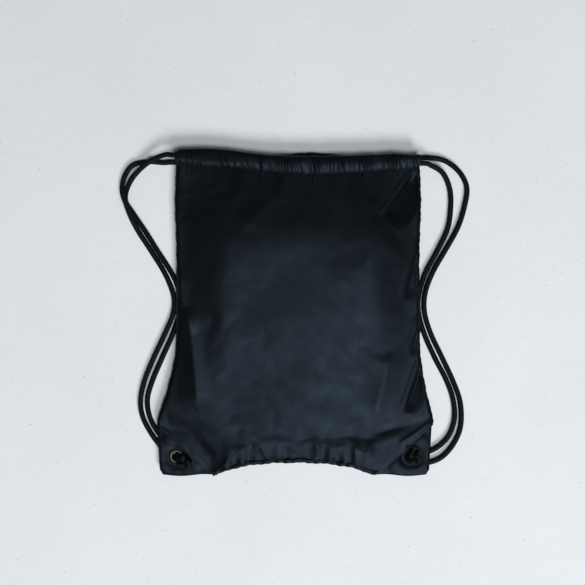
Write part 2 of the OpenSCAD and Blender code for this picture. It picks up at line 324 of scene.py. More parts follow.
def mesh_object(name, points, faces, material, normals=None):
    """A smooth mesh object."""
    mesh = bpy.data.meshes.new(name)
    mesh.from_pydata([tuple(p) for p in points], [], faces)
    mesh.polygons.foreach_set("use_smooth", [True] * len(mesh.polygons))
    mesh.materials.append(material)
    if normals is not None:
        mesh.normals_split_custom_set_from_vertices([tuple(n) for n in normals])
    made = bpy.data.objects.new(name, mesh)
    bpy.context.collection.objects.link(made)
    return made


def piece(name, points, faces, slot, normals=None):
    """A mesh with the material of a slot."""
    made = mesh_object(name, points, faces, MATERIALS[slot], normals)
    return made


def grid_faces(rows, columns, first=0, closed=False):
    """Quads of a grid of points, which are stored row by row."""
    last = columns if closed else columns - 1
    faces = []
    for i in range(rows - 1):
        for j in range(last):
            a = first + i * columns + j
            b = first + i * columns + (j + 1) % columns
            faces.append((a, b, b + columns, a + columns))
    return faces


def grid_normals(grid):
    """Normals of a grid of points, whose rows run along +X and whose columns run along +Y."""
    return unit(np.cross(np.gradient(grid, axis=0), np.gradient(grid, axis=1)))


def shell(name, grid, normals, slot):
    """A closed sheet of cloth: the grid, the same grid under it, and the rim between them."""
    rows, columns = grid.shape[:2]
    count = rows * columns
    top = grid.reshape(-1, 3)
    points = np.vstack([top, top - CLOTH_T * normals.reshape(-1, 3)])
    faces = [tuple(reversed(f)) for f in grid_faces(rows, columns)]
    faces += [tuple(count + k for k in reversed(f)) for f in faces]
    ring = ([(0, j) for j in range(columns - 1)] + [(i, columns - 1) for i in range(rows - 1)]
            + [(rows - 1, j) for j in range(columns - 1, 0, -1)] + [(i, 0) for i in range(rows - 1, 0, -1)])
    ids = [i * columns + j for i, j in ring]
    faces += [(a, b, b + count, a + count) for a, b in zip(ids, ids[1:] + ids[:1])]
    both = np.vstack([normals.reshape(-1, 3), -normals.reshape(-1, 3)])
    return piece(name, points, faces, slot, both)


def ripples(seed, x, y, wavelength, waves=7):
    """Soft irregular bumps: waves of about one wavelength that run in many directions."""
    rng = np.random.default_rng(seed)
    total = 0
    for _ in range(waves):
        angle = rng.uniform(0, math.pi)
        phase = rng.uniform(0, 2 * math.pi)
        size = wavelength * rng.uniform(0.75, 1.35)
        total = total + np.sin(2 * math.pi * (x * math.cos(angle) + y * math.sin(angle)) / size + phase)
    return total / math.sqrt(waves)


def gathers(seed, x, wavelength, sharp=1.6):
    """Pleats along a gathered seam, from 0 in the valleys to about 1 on the ridges."""
    rng = np.random.default_rng(seed)
    drift = 0
    for size in (0.11, 0.047, 0.023):
        drift = drift + size * 0.16 * np.sin(2 * math.pi * x / size + rng.uniform(0, 6.3))
    ridge = np.abs(np.sin(math.pi * (x + drift) / wavelength))
    level = 0.65 + 0.35 * np.sin(2 * math.pi * x / (wavelength * 3.7) + rng.uniform(0, 6.3))
    return level * ridge ** sharp


def crease(x, y, start, end, height, left, right, fade=0.02):
    """A fold along a line. It falls away over one width on its left and another on its right."""
    run = math.hypot(end[0] - start[0], end[1] - start[1])
    dx, dy = (end[0] - start[0]) / run, (end[1] - start[1]) / run
    along = (x - start[0]) * dx + (y - start[1]) * dy
    off = (y - start[1]) * dx - (x - start[0]) * dy
    inside = smoothstep((along + fade) / fade) * smoothstep((run + fade - along) / fade)
    away = np.where(off > 0, off / left, -off / right)
    return height * inside * np.exp(0.35 - np.sqrt(away ** 2 + 0.1225))


# --- cords
# Routes of the strands, each from its grommet to the end of the casing.
LEFT_UPPER_RUN = [
    (-0.158, -0.188, 0.0035), (-0.170, -0.179, 0.0035), (-0.185, -0.160, 0.0035), (-0.197, -0.137, 0.0035),
    (-0.200, -0.115, 0.0035), (-0.195, -0.090, 0.0035), (-0.183, -0.060, 0.0035), (-0.169, -0.030, 0.0035),
    (-0.158, -0.003, 0.0035), (-0.157, 0.020, 0.0035), (-0.168, 0.049, 0.0035), (-0.187, 0.080, 0.0035),
    (-0.203, 0.105, 0.006), (-0.214, 0.128, 0.010), (-0.219, 0.148, 0.0112), (-0.214, 0.167, 0.0078),
    (-0.202, 0.183, 0.0094), (-0.185, 0.196, 0.0126), (-0.167, 0.203, 0.0172),
]
LEFT_LOWER_RUN = [
    (-0.151, -0.182, 0.0035), (-0.162, -0.172, 0.0035), (-0.177, -0.157, 0.0035), (-0.188, -0.137, 0.0035),
    (-0.191, -0.113, 0.0035), (-0.184, -0.088, 0.0035), (-0.172, -0.060, 0.0035), (-0.1575, -0.027, 0.0035),
    (-0.149, 0.002, 0.0035), (-0.149, 0.024, 0.0035), (-0.159, 0.049, 0.0035), (-0.178, 0.079, 0.0035),
    (-0.193, 0.103, 0.0035), (-0.210, 0.128, 0.0035), (-0.222, 0.148, 0.0035), (-0.223, 0.169, 0.0035),
    (-0.212, 0.189, 0.0035), (-0.192, 0.195, 0.0035), (-0.170, 0.194, 0.0037),
]
RIGHT_UPPER_RUN = [
    (0.158, -0.193, 0.0035), (0.172, -0.196, 0.0035), (0.191, -0.189, 0.0035), (0.207, -0.171, 0.0035),
    (0.216, -0.148, 0.0035), (0.2155, -0.118, 0.0035), (0.206, -0.090, 0.0035), (0.192, -0.060, 0.0035),
    (0.177, -0.028, 0.0035), (0.169, 0.000, 0.0035), (0.170, 0.025, 0.0035), (0.180, 0.052, 0.0035),
    (0.196, 0.080, 0.0035), (0.212, 0.109, 0.0035), (0.221, 0.137, 0.0035), (0.224, 0.162, 0.0035),
    (0.214, 0.182, 0.0035), (0.196, 0.196, 0.0035), (0.176, 0.200, 0.0039),
]
RIGHT_LOWER_RUN = [
    (0.157, -0.184, 0.0035), (0.170, -0.183, 0.0035), (0.187, -0.175, 0.0035), (0.201, -0.160, 0.0035),
    (0.208, -0.138, 0.0035), (0.206, -0.113, 0.0035), (0.197, -0.088, 0.0035), (0.1825, -0.060, 0.0035),
    (0.1685, -0.028, 0.0035), (0.161, 0.000, 0.0035), (0.162, 0.025, 0.0035), (0.171, 0.052, 0.0035),
    (0.186, 0.080, 0.0035), (0.199, 0.108, 0.0035), (0.203, 0.135, 0.0035), (0.202, 0.159, 0.004),
    (0.193, 0.179, 0.008), (0.177, 0.189, 0.0145),
]
CORD_R = CORD_D / 2
FRONT_LANE_Z = (casing_low.z + casing_high.z) / 2
BACK_LANE_Z = (back_casing_low.z + back_casing_high.z) / 2
TURN_INSET = 0.014      # how far inside the far end of the mouth a cord turns back
TURN_BOW = 0.007
STRAND_END = 0.025      # the loose strands reach this near to the middle, inside the casings
TURN_START = 0.105
BRAID_RELIEF = 0.00035
KNOT_CORD_R = 0.0031    # the cord is pulled a little thinner in its knot
KNOT_SIZE = 1.16
NECK_SHIFT = 0.0024     # a neck's distance from the middle of the grommet
TIP_START = 0.0042
TIP_LENGTH = 0.0062


def smooth(points, step):
    """An even line of points on the smooth curve through the given ones."""
    p = np.array(points, float)
    p = np.vstack([2 * p[0] - p[1], p, 2 * p[-1] - p[-2]])
    t = np.linspace(0, 1, 24, endpoint=False)[:, None]
    parts = [
        0.5 * (2 * b + (c - a) * t + (2 * a - 5 * b + 4 * c - d) * t ** 2 + (3 * b - a - 3 * c + d) * t ** 3)
        for a, b, c, d in zip(p[:-3], p[1:-2], p[2:-1], p[3:])
    ]
    line = np.vstack([*parts, p[-2][None]])
    along = distance_along(line)
    at = np.linspace(0, along[-1], max(4, int(round(along[-1] / step)) + 1))
    return np.stack([np.interp(at, along, line[:, k]) for k in range(3)], axis=1)


def braid(turn, along, diameter):
    """Relief of a round braid, from 0 between the strands to 1 on them."""
    strands = 8
    pitch = 3.1 * diameter
    a = strands * (turn + along / pitch)
    b = strands * (turn - along / pitch)
    over = (np.floor(a) + np.floor(b)) % 2
    long_way = np.where(over > 0.5, np.abs(np.sin(math.pi * a)), np.abs(np.sin(math.pi * b)))
    short_way = np.where(over > 0.5, np.abs(np.sin(math.pi * b)), np.abs(np.sin(math.pi * a)))
    return long_way ** 0.75 * short_way ** 0.3


def tube(name, line, radius, slot="cord_braid", sides=28, relief=0.0):
    """A braided cord along a line, with closed ends. The radius may change along it."""
    line = np.asarray(line, float)
    forward = unit(np.gradient(line, axis=0))
    out = unit(np.cross(forward[0], (0.31, 0.17, 1.0)))
    along = distance_along(line)
    radii = np.broadcast_to(radius, len(line))
    turn = np.arange(sides) / sides
    cos, sin = np.cos(2 * math.pi * turn)[:, None], np.sin(2 * math.pi * turn)[:, None]
    rings = []
    for i, centre in enumerate(line):
        out = unit(out - np.dot(out, forward[i]) * forward[i])
        across = np.cross(forward[i], out)
        depth = relief * (1 - braid(turn, along[i], 2 * radii[i])) if relief else 0 * turn
        rings.append(centre + (radii[i] - depth)[:, None] * (cos * out + sin * across))
    points = np.vstack(rings + [line[:1], line[-1:]])
    count = len(line) * sides
    faces = grid_faces(len(line), sides, closed=True)
    last = count - sides
    faces += [(count, (k + 1) % sides, k) for k in range(sides)]
    faces += [(count + 1, last + k, last + (k + 1) % sides) for k in range(sides)]
    return piece(name, points, faces, slot)


def lane(x, high, z):
    return (x, casing_y(x) + (0.5 if high else -0.5) * LANE_GAP, z)


def inner_route(side, near_x, far_x, z_first, z_last):
    """A cord's way through the casings: in on the high lane, round the far end, and back on the low one."""
    inner = [-side * x for x in (-0.09, 0.0, 0.09)]
    turn = side * TURN_BOW
    return (
        [lane(x, True, z_first) for x in (near_x, *inner, far_x)]
        + [lane(far_x - 0.7 * turn, True, z_first * 0.85 + z_last * 0.15),
           (far_x - turn, casing_y(far_x), (z_first + z_last) / 2),
           lane(far_x - 0.7 * turn, False, z_first * 0.15 + z_last * 0.85)]
        + [lane(x, False, z_last) for x in (far_x, *reversed(inner), near_x)]
    )


def blend_sides(made):
    """Bakes the placement of a piece from SPLIT_X outwards into its mesh."""
    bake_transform(made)


def blend_mouth(made):
    """Bakes the placement of a piece from SPLIT_X inwards into its mesh."""
    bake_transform(made)


def make_cord(word, side, upper, lower, near_x, far_x, z_first, z_last):
    """One cord: two loose strands, the turn at the far end, and the stretches hidden in the casings."""
    body = word + "_cord"
    route = smooth(upper + inner_route(side, near_x, far_x, z_first, z_last) + lower[::-1], 0.0008)
    x = side * route[:, 0]
    inside = [i for i in range(len(route)) if route[i, 1] > 0.17]
    first_in = next(i for i in inside if x[i] < STRAND_END)
    last_in = next(i for i in reversed(inside) if x[i] < STRAND_END)
    turn_from = next(i for i in inside if x[i] < -TURN_START)
    turn_to = next(i for i in reversed(inside) if x[i] < -TURN_START)
    strands = []
    for name, line in ((body + "_first_strand", route[:first_in + 1]),
                       (body + "_second_strand", route[last_in:][::-1])):
        made = tube(name, line, CORD_R, relief=BRAID_RELIEF)
        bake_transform(made)
        strands.append((made, line))
    far = tube(body + "_far_turn", route[turn_from:turn_to + 1], CORD_R, relief=BRAID_RELIEF)
    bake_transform(far)
    for high, part in ((True, route[first_in:turn_from + 1]), (False, route[turn_to:last_in + 1])):
        in_front = (z_first if high else z_last) > POUCH_Z
        if not in_front:
            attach(tube(body + "_back_run", part[::3], CORD_R, sides=16), "bag")
            continue
        middle = int(np.argmin(np.abs(part[:, 0])))
        for half in (part[:middle + 1], part[middle:]):
            at = 1 if half[:, 0].mean() > 0 else -1
            half_name = f"{body}_front_run_{'left' if at < 0 else 'right'}"
            evened = np.vstack([half[:-1:3], half[-1:]])
            blend_mouth(tube(half_name, evened, CORD_R, sides=16))
    return strands


left_strands = make_cord("left", -1, LEFT_UPPER_RUN, LEFT_LOWER_RUN, -MOUTH_LEFT, MOUTH_RIGHT - TURN_INSET,
                         FRONT_LANE_Z, BACK_LANE_Z)
right_strands = make_cord("right", 1, RIGHT_UPPER_RUN, RIGHT_LOWER_RUN, MOUTH_RIGHT,
                          -MOUTH_LEFT + TURN_INSET, BACK_LANE_Z, FRONT_LANE_Z)
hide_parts("left_cord")
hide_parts("right_cord")


# --- knots, necks and tips
def knot_line(centre, spin):
    """A pulled-tight overhand knot, as an open trefoil."""
    t = np.linspace(0.35, 2 * math.pi - 0.35, 260)
    ring = 0.0046 * KNOT_SIZE + 0.0025 * KNOT_SIZE * np.cos(3 * t)
    flat = np.stack([ring * np.cos(2 * t), ring * np.sin(2 * t), 0.0036 * np.sin(3 * t)], axis=1)
    flat[:, 0] *= 1.06
    c, s = math.cos(spin), math.sin(spin)
    return flat @ np.array([[c, s, 0], [-s, c, 0], [0, 0, 1]]) + centre


def make_knot(word, pivot, centre, spin, tip_angles, under):
    """The knotted ends of a cord over its grommet, and the two necks that come up through the hole."""
    centre, pivot = np.array(centre), np.array(pivot)
    knot = tube(word + "_overhand_knot", knot_line(centre, spin), KNOT_CORD_R, sides=24, relief=0.0004)
    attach(knot, word + "_knot")
    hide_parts(word + "_knot")
    necks = []
    to_knot = centre - pivot
    heading = math.atan2(to_knot[1], to_knot[0])
    for k, start in enumerate(under):
        shift = (1 if k else -1) * NECK_SHIFT
        aside = np.array([-math.sin(heading) * shift, math.cos(heading) * shift, 0])
        base = (pivot + aside) * (1, 1, 0)
        line = smooth([
            start, (start + base + (0, 0, 0.0045)) / 2 + (0, 0, 0.0014), base + (0, 0, 0.0085),
            base + (0, 0, 0.0128), base + to_knot * (0.42, 0.42, 0) + (0, 0, 0.0166),
            base + to_knot * (0.8, 0.8, 0) + (0, 0, 0.0185),
        ], 0.0006)
        radii = np.interp(line[:, 2], [0.0035, 0.0075, 0.012, 0.0165], [0.0033, 0.0024, 0.0024, KNOT_CORD_R])
        neck = tube(f"{word}_neck_{k + 1}", line, radii, sides=24, relief=0.0003)
        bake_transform(neck)
        necks.append(neck)
    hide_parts(word + "_cord_neck")
    tips = []
    for k, angle in enumerate(tip_angles):
        out = np.array([math.cos(math.radians(angle)), math.sin(math.radians(angle)), -0.12])
        line = centre + out * TIP_START + out * np.linspace(0, TIP_LENGTH, 14)[:, None]
        radii = np.interp(np.arange(14), [9, 11, 12, 13], [KNOT_CORD_R, 0.0033, 0.0029, 0.0014])
        tip = tube(f"{word}_cut_end_{k + 1}", line, radii, "cord_tip", sides=24, relief=0.00018)
        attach(tip, word + "_knot")
        tips.append(tip)
    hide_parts(word + "_cord_tips")
    return [knot, *necks, *tips]


def centre_of(node):
    low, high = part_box(node)
    return (low + high) / 2


def grommet_ends(strands):
    return [line[0] for _, line in strands]


left_pivot = centre_of("left_grommet")
right_pivot = centre_of("right_grommet")
left_ends = make_knot("left", left_pivot, centre_of("left_knot"), 0.9, (-15, -70),
                      grommet_ends(left_strands))
right_ends = make_knot("right", right_pivot, centre_of("right_knot"), 1.3, (40, 100),
                       grommet_ends(right_strands))


# --- casings
CASING_STEP = 0.0009
CASING_ROUND = 56
RUFFLE_LEFT = 0.4       # the left third of the mouth is smoother than the rest


def ruffle_share(x):
    return RUFFLE_LEFT + (1 - RUFFLE_LEFT) * smoothstep((x + 0.075) / 0.05)


def ruffle(x):
    """Height of the pleats along the gathered seams, from 0 to 1."""
    return ruffle_share(x) * (0.8 * gathers(3, x, 0.0095, 1.3) + 0.2 * gathers(8, x + 0.002, 0.0052, 1.2))


def casing_surface(x, angle, centre_z, half_z, front, grow=0.0):
    """A point of a casing's skin. Angle 0 is its upper edge, and pi is the seam under it."""
    cos, sin = np.cos(angle), np.sin(angle)
    up = np.sign(cos) * np.abs(cos) ** 0.72
    over = np.sign(sin) * np.abs(sin) ** np.where(cos < 0, 0.62 + 0.4 * smoothstep(-cos), 0.62)
    lift = 0.0 if front else 0.0055 * bump(x, 0.02, 0.042)
    reach = np.where(up > 0, CASING_HALF + casing_rise(x) + lift, CASING_HALF - casing_foot(x)) - 0.0006
    lip = smoothstep(-up)
    outer = over if front else -over
    slanted = x + 0.0018 * up + 0.0012 * np.sin(2 * math.pi * (x / 0.031) + 2 * up)
    pleat = ruffle(slanted + (0 if front else 0.0041))
    dent = ripples(21 if front else 22, x, up * CASING_HALF, 0.03)
    thick = half_z * (1 - 0.3 * lip)
    bulge = 0.0027 * pleat * (0.35 + 0.65 * np.clip(outer, 0, 1))
    bulge = bulge * (0.95 + 0.1 * np.abs(up)) * (1 - 0.6 * lip)
    bulge = bulge + 0.0004 * dent * np.clip(outer, 0, 1)
    y = casing_y(x) + up * (reach + grow) + 0.0012 * (pleat - 0.5) * np.sign(up) * np.abs(up) ** 3
    z = centre_z + over * (thick + grow) + (bulge * over if front else bulge * np.minimum(over, 0) * 0.25)
    z = z - lip * 0.0008
    return np.stack([x + 0 * y, y, z], axis=-1)


def casing_band(front):
    """Height of a casing's middle, and half its thickness."""
    low, high = (casing_low, casing_high) if front else (back_casing_low, back_casing_high)
    return (low.z + high.z) / 2, (high.z - low.z) / 2


def casing_grid(front, grow):
    """The skin of a casing, and the columns where its strips begin and end."""
    columns = int(round((MOUTH_LEFT + MOUTH_RIGHT) / CASING_STEP))
    left = np.linspace(-MOUTH_LEFT, -SPLIT_X, int(columns * (MOUTH_LEFT - SPLIT_X) / (2 * MOUTH_MID)))
    middle_left = np.linspace(-SPLIT_X, 0, int(columns * SPLIT_X / (2 * MOUTH_MID)))
    middle_right = np.linspace(0, SPLIT_X, len(middle_left))
    right = np.linspace(SPLIT_X, MOUTH_RIGHT, int(columns * (MOUTH_RIGHT - SPLIT_X) / (2 * MOUTH_MID)))
    xs = np.concatenate([left, middle_left[1:], middle_right[1:], right[1:]])
    cuts = np.cumsum([0, len(left) - 1, len(middle_left) - 1, len(middle_right) - 1, len(right) - 1])
    angle = 2 * math.pi * np.arange(CASING_ROUND) / CASING_ROUND
    x, a = np.meshgrid(xs, angle, indexing="ij")
    return casing_surface(x, a, *casing_band(front), front, grow), cuts


def closed_normals(grid):
    """Normals of a grid whose columns run round and close on themselves."""
    round_way = (np.roll(grid, -1, axis=1) - np.roll(grid, 1, axis=1)) / 2
    return unit(np.cross(np.gradient(grid, axis=0), round_way))


def sleeve(name, outer, inner, outer_normals, inner_normals):
    """A closed tube of cloth, open at both ends for the cords."""
    rows, columns = outer.shape[:2]
    count = rows * columns
    points = np.vstack([outer.reshape(-1, 3), inner.reshape(-1, 3)])
    skin = grid_faces(rows, columns, closed=True)
    faces = skin + [tuple(count + k for k in reversed(f)) for f in skin]
    for row in (0, rows - 1):
        for j in range(columns):
            a, b = row * columns + j, row * columns + (j + 1) % columns
            face = (a, b, b + count, a + count)
            faces.append(face[::-1] if row == 0 else face)
    normals = np.vstack([outer_normals.reshape(-1, 3), -inner_normals.reshape(-1, 3)])
    return piece(name, points, faces, "casing_nylon", normals)


# The strips of a panel or a casing, from left to right: name, side, and whether it is an outer one.
STRIPS = (
    ("left_end", -1, True), ("left_middle", -1, False), ("right_middle", 1, False), ("right_end", 1, True),
)


def blend_strip(made, outside, front):
    """An outer strip, and a middle strip of the front, get their placement baked into the mesh; a middle
    strip of the back rides the bag.
    """
    if outside:
        blend_sides(made)
    elif front:
        blend_mouth(made)
    else:
        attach(made, "bag")


def make_casing(word):
    """One casing, in strips split at SPLIT_X and at the middle."""
    front = word == "front"
    outer, cuts = casing_grid(front, 0.0)
    inner, _ = casing_grid(front, -CLOTH_T)
    outer_normals, inner_normals = -closed_normals(outer), -closed_normals(inner)
    for (part, side, outside), a, b in zip(STRIPS, cuts, cuts[1:]):
        rows = slice(a, b + 1)
        strip = sleeve(f"{word}_casing_{part}", outer[rows], inner[rows],
                       outer_normals[rows], inner_normals[rows])
        blend_strip(strip, outside, front)
    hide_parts(word + "_casing")


for word in ("front", "back"):
    make_casing(word)


# --- panels
PANEL_STEP = 0.0016
PANEL_LENGTH = 0.385
SETTLE_FRAMES = 16
SETTLE_MOST = 0.001     # the most that a point may settle
SETTLE_SHARE = 0.5      # how much of that is kept, as the photographed cloth is smooth
PATCH_LAP = 0.004       # how far the front laps over the slanting edges of the patches
CROWN = 0.0088          # how much fuller the front is in its middle than at its sides
# Ridges of the front: start, end, height, width on the left of the line and width on its right.
FRONT_RIDGES = [
    ((-0.152, 0.040), (-0.136, -0.012), 0.0018, 0.009, 0.015),
    ((-0.136, -0.010), (-0.127, -0.102), 0.0022, 0.008, 0.016),
    ((0.120, -0.068), (0.108, -0.120), 0.0016, 0.010, 0.012),
    ((-0.010, 0.172), (-0.052, 0.118), 0.0012, 0.014, 0.012),
    ((0.062, 0.040), (0.118, 0.086), 0.0010, 0.020, 0.018),
    ((-0.070, 0.176), (-0.064, 0.120), 0.0008, 0.006, 0.008),
    ((0.079, -0.178), (0.076, -0.199), 0.0018, 0.005, 0.006),
    ((0.056, -0.180), (0.053, -0.196), 0.0012, 0.006, 0.005),
    ((0.096, -0.182), (0.091, -0.203), 0.0018, 0.006, 0.007),
    ((0.030, -0.176), (0.034, -0.192), 0.0010, 0.005, 0.005),
    ((-0.090, -0.197), (-0.076, -0.184), 0.0012, 0.007, 0.008),
    ((-0.100, -0.206), (-0.090, -0.196), 0.0010, 0.005, 0.006),
    ((-0.040, -0.180), (-0.034, -0.194), 0.0010, 0.006, 0.005),
    ((0.176, -0.1435), (0.143, -0.1655), 0.0019, 0.007, 0.0035),
]
# Facets of the front: the cloth drops on the left of the line from start to end, by a depth, and climbs
# back over a width.
FRONT_FACETS = [
    ((0.154, 0.181), (0.113, 0.124), 0.0062, 0.034),
    ((0.163, -0.062), (0.141, -0.127), 0.0044, 0.022),
    ((0.161, 0.094), (0.140, 0.018), 0.0022, 0.020),
    ((0.162, -0.006), (0.148, -0.054), 0.0018, 0.014),
]
# Broad soft hollows of the front: middle, half length, half width, heading and depth.
FRONT_HOLLOWS = [
    ((-0.143, -0.155), 0.030, 0.013, -0.16, 0.0016),
    ((-0.122, -0.176), 0.028, 0.013, -0.9, 0.0013),
    ((0.127, -0.153), 0.026, 0.009, 0.30, 0.0022),
]


def facet(x, y, start, end, depth, width):
    """A flat fold: a short step down at a line, and a long even slope back up on its left."""
    run = math.hypot(end[0] - start[0], end[1] - start[1])
    dx, dy = (end[0] - start[0]) / run, (end[1] - start[1]) / run
    along = (x - start[0]) * dx + (y - start[1]) * dy
    off = (y - start[1]) * dx - (x - start[0]) * dy
    inside = smoothstep(along / (0.25 * run) + 0.2) * smoothstep((run - along) / (0.25 * run) + 0.2)
    lip = 0.0005 * np.exp(-((off + 0.004) / 0.003) ** 2)
    return inside * (lip - depth * smoothstep(off / 0.0036) * np.clip(1 - off / width, 0, 1))


def hollow(x, y, middle, half_length, half_width, heading, depth):
    """A long shallow dip, steeper on its upper side."""
    c, s = math.cos(heading), math.sin(heading)
    along = ((x - middle[0]) * c + (y - middle[1]) * s) / half_length
    off = ((y - middle[1]) * c - (x - middle[0]) * s) / half_width
    return -depth * np.exp(-along ** 2 - off ** 2) * (1 + 0.5 * np.tanh(2 * off))


def side_distance(x, y):
    """How far a point is inside the sides."""
    return np.maximum(np.minimum(side_x(y, MOUTH_RIGHT) - x, side_x(y, MOUTH_LEFT) + x), 0)


def slant_distance(x, y):
    """How far a point is above the slanting edges of the corner patches."""
    return np.maximum((y - patch_edge(x) + PATCH_LAP) * 0.72, 0)


def edge_distance(x, y):
    return np.minimum(side_distance(x, y), slant_distance(x, y))


def front_height(x, y):
    """Top of the front cloth: fullest in the upper middle, and low under the mouth and at the edges."""
    seam_y = casing_y(x) - CASING_HALF + casing_foot(x)
    under = np.maximum(seam_y - y, 0)
    inside = edge_distance(x, y)
    rim = np.sqrt(np.clip(1 - (1 - np.clip(side_distance(x, y) / 0.0045, 0, 1)) ** 2, 0, 1))
    rim = rim * (0.35 + 0.65 * smoothstep(slant_distance(x, y) / 0.032))
    slack = smoothstep(inside / 0.07)
    floor_gap = np.maximum(y - bottom_y(x) - 0.005, 0)
    foot = smoothstep(floor_gap / 0.02)
    full = POUCH_Z + 0.0009
    edge_z = SEAM_Z + 0.0016
    past = (y - 0.097) / 0.088
    fall = 0.5 * (past + np.sqrt(past ** 2 + 0.03))
    crown = CROWN * (smoothstep((y + 0.2) / 0.32) - np.clip(fall, 0, 1.05)) * slack
    slump_line = np.interp(y, [-0.11, -0.1, -0.01, 0.04, 0.05], [-0.126, -0.127, -0.136, -0.152, -0.158])
    slump = 0.0013 * np.clip((slump_line - x) / 0.024, 0, 1) * smoothstep((y + 0.125) / 0.025)
    z = edge_z + (full - edge_z) * rim * (0.45 + 0.55 * foot) + crown - slump * rim
    gathered = ruffle(x + 0.04 * under)
    z = z + 0.0016 * np.exp(-under / 0.009) * gathered * rim
    z = z + 0.0006 * np.exp(-under / 0.04) * ripples(5, x, y * 0.25, 0.03) * ruffle_share(x) * rim
    eased = smoothstep(inside / 0.006)
    for start, end, height, left, right in FRONT_RIDGES:
        z = z + crease(x, y, start, end, height, left, right) * eased
    for start, end, depth, width in FRONT_FACETS:
        z = z + facet(x, y, start, end, depth, width) * eased
    for middle, half_length, half_width, heading, depth in FRONT_HOLLOWS:
        z = z + hollow(x, y, middle, half_length, half_width, heading, depth) * eased
    z = z + (0.0003 * ripples(11, x, y, 0.12) + 0.00003 * ripples(12, x, y, 0.03)) * slack
    puckers = np.exp(-floor_gap / 0.012) * smoothstep((ARCH_HALF + 0.01 - np.abs(x)) / 0.02)
    return z + 0.0009 * puckers * ripples(14, x, y * 0.2, 0.016)


def back_height(x, y):
    """Underside of the back cloth, which lies on the floor and lifts to the seams at its sides."""
    rim = smoothstep(edge_distance(x, y) / 0.026)
    rise = (SEAM_Z - 0.0024) * (1 - rim)
    wrinkle = 0.0005 * (1 + np.clip(ripples(31, x, y, 0.05), -1, 1)) * rim
    return rise + wrinkle


def panel_columns():
    """The x of each column at the mouth, with columns exactly on the lines where the cloth is split."""
    def spread(a, b):
        return np.linspace(a, b, max(2, int(round((b - a) / PANEL_STEP)) + 1))
    stops = (-MOUTH_LEFT, -SPLIT_X, 0, SPLIT_X, MOUTH_RIGHT)
    parts = [spread(a, b) for a, b in zip(stops, stops[1:])]
    cuts = np.cumsum([0] + [len(p) - 1 for p in parts])
    return np.concatenate([parts[0]] + [p[1:] for p in parts[1:]]), cuts


def panel_plan(overlap):
    """Where each point of a panel lies, seen from above."""
    columns, cuts = panel_columns()
    rows = int(round(PANEL_LENGTH / PANEL_STEP))
    share = np.linspace(0, 1, rows)
    base, v = np.meshgrid(columns, share, indexing="ij")
    mouth = np.where(base < 0, MOUTH_LEFT, MOUTH_RIGHT)
    outward = np.clip((np.abs(base) - SPLIT_X) / (mouth - SPLIT_X), 0, 1)
    x, y = base.copy(), base * 0
    for _ in range(12):
        arch = bottom_y(np.clip(x, -ARCH_HALF, ARCH_HALF)) + 0.004
        low = np.where(np.abs(x) > PATCH_TIP + 0.001, np.maximum(patch_edge(x) - overlap, arch), arch)
        high = casing_y(x) - CASING_HALF + casing_foot(x) + 0.0024
        y = low + (high - low) * v
        edge = side_x(y, mouth) + edge_wave(y)
        spread = np.abs(base) + outward * (edge - mouth)
        x = np.where(np.abs(base) > SPLIT_X, np.sign(base) * spread, base)
    return x, y, cuts


def make_panel(word):
    """One panel, in strips split at SPLIT_X and at the middle."""
    front = word == "front"
    x, y, cuts = panel_plan(PATCH_LAP if front else -0.0005)
    z = front_height(x, y) if front else back_height(x, y)
    if not front:
        z = z + 0.0006 * np.exp(-edge_distance(x, y) / 0.0022)
    grid = np.stack([x, y, z], axis=-1)
    if front:
        grid = settle(grid)
    normals = grid_normals(grid)
    if not front:
        grid = grid + CLOTH_T * normals
    for (part, side, outside), a, b in zip(STRIPS, cuts, cuts[1:]):
        rows = slice(a, b + 1)
        strip = shell(f"{word}_panel_{part}", grid[rows], normals[rows], "panel_nylon")
        blend_strip(strip, outside, front)
    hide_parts(word + "_panel")


def settle(grid):
    """Lets the front cloth, which is cut a little larger than its sewn outline, settle into soft folds.

    A share of the simulated heights goes back into the grid, so the cloth keeps its own plan.
    """
    rows, columns = grid.shape[:2]
    start = grid.reshape(-1, 3)
    cloth = mesh_object("front_cloth_to_settle", start, grid_faces(rows, columns), MATERIALS["panel_nylon"])
    held = cloth.vertex_groups.new(name="sewn")
    index = np.arange(rows * columns).reshape(rows, columns)
    rim = np.concatenate([index[0], index[-1], index[:, 0], index[:, -1]])
    held.add([int(i) for i in np.unique(rim)], 1.0, "REPLACE")
    modifier = cloth.modifiers.new("cloth", "CLOTH")
    settings = modifier.settings
    settings.vertex_group_mass = "sewn"
    settings.quality = 5
    settings.mass = 0.1
    settings.tension_stiffness = 15
    settings.compression_stiffness = 15
    settings.shear_stiffness = 15
    settings.bending_stiffness = 14.0
    settings.shrink_min = -0.0012
    settings.effector_weights.gravity = 0.0
    modifier.collision_settings.use_collision = False
    modifier.point_cache.frame_start = 1
    modifier.point_cache.frame_end = SETTLE_FRAMES
    scene = bpy.context.scene
    for number in range(1, SETTLE_FRAMES + 1):
        scene.frame_set(number)
    evaluated = cloth.evaluated_get(bpy.context.evaluated_depsgraph_get())
    points = np.array([v.co for v in evaluated.data.vertices], float).reshape(rows, columns, 3)
    bpy.data.objects.remove(cloth)
    scene.frame_set(1)
    moved = np.clip(points[:, :, 2] - grid[:, :, 2], -SETTLE_MOST, SETTLE_MOST)
    settled = grid.copy()
    settled[:, :, 2] += SETTLE_SHARE * moved
    return settled


for word in ("front", "back"):
    make_panel(word)


# --- seams, patches and thread
STITCH = 0.0023         # the length of a stitch
STITCH_GAP = 0.0009
ROLL_ROUND = 20         # points round a sewn roll


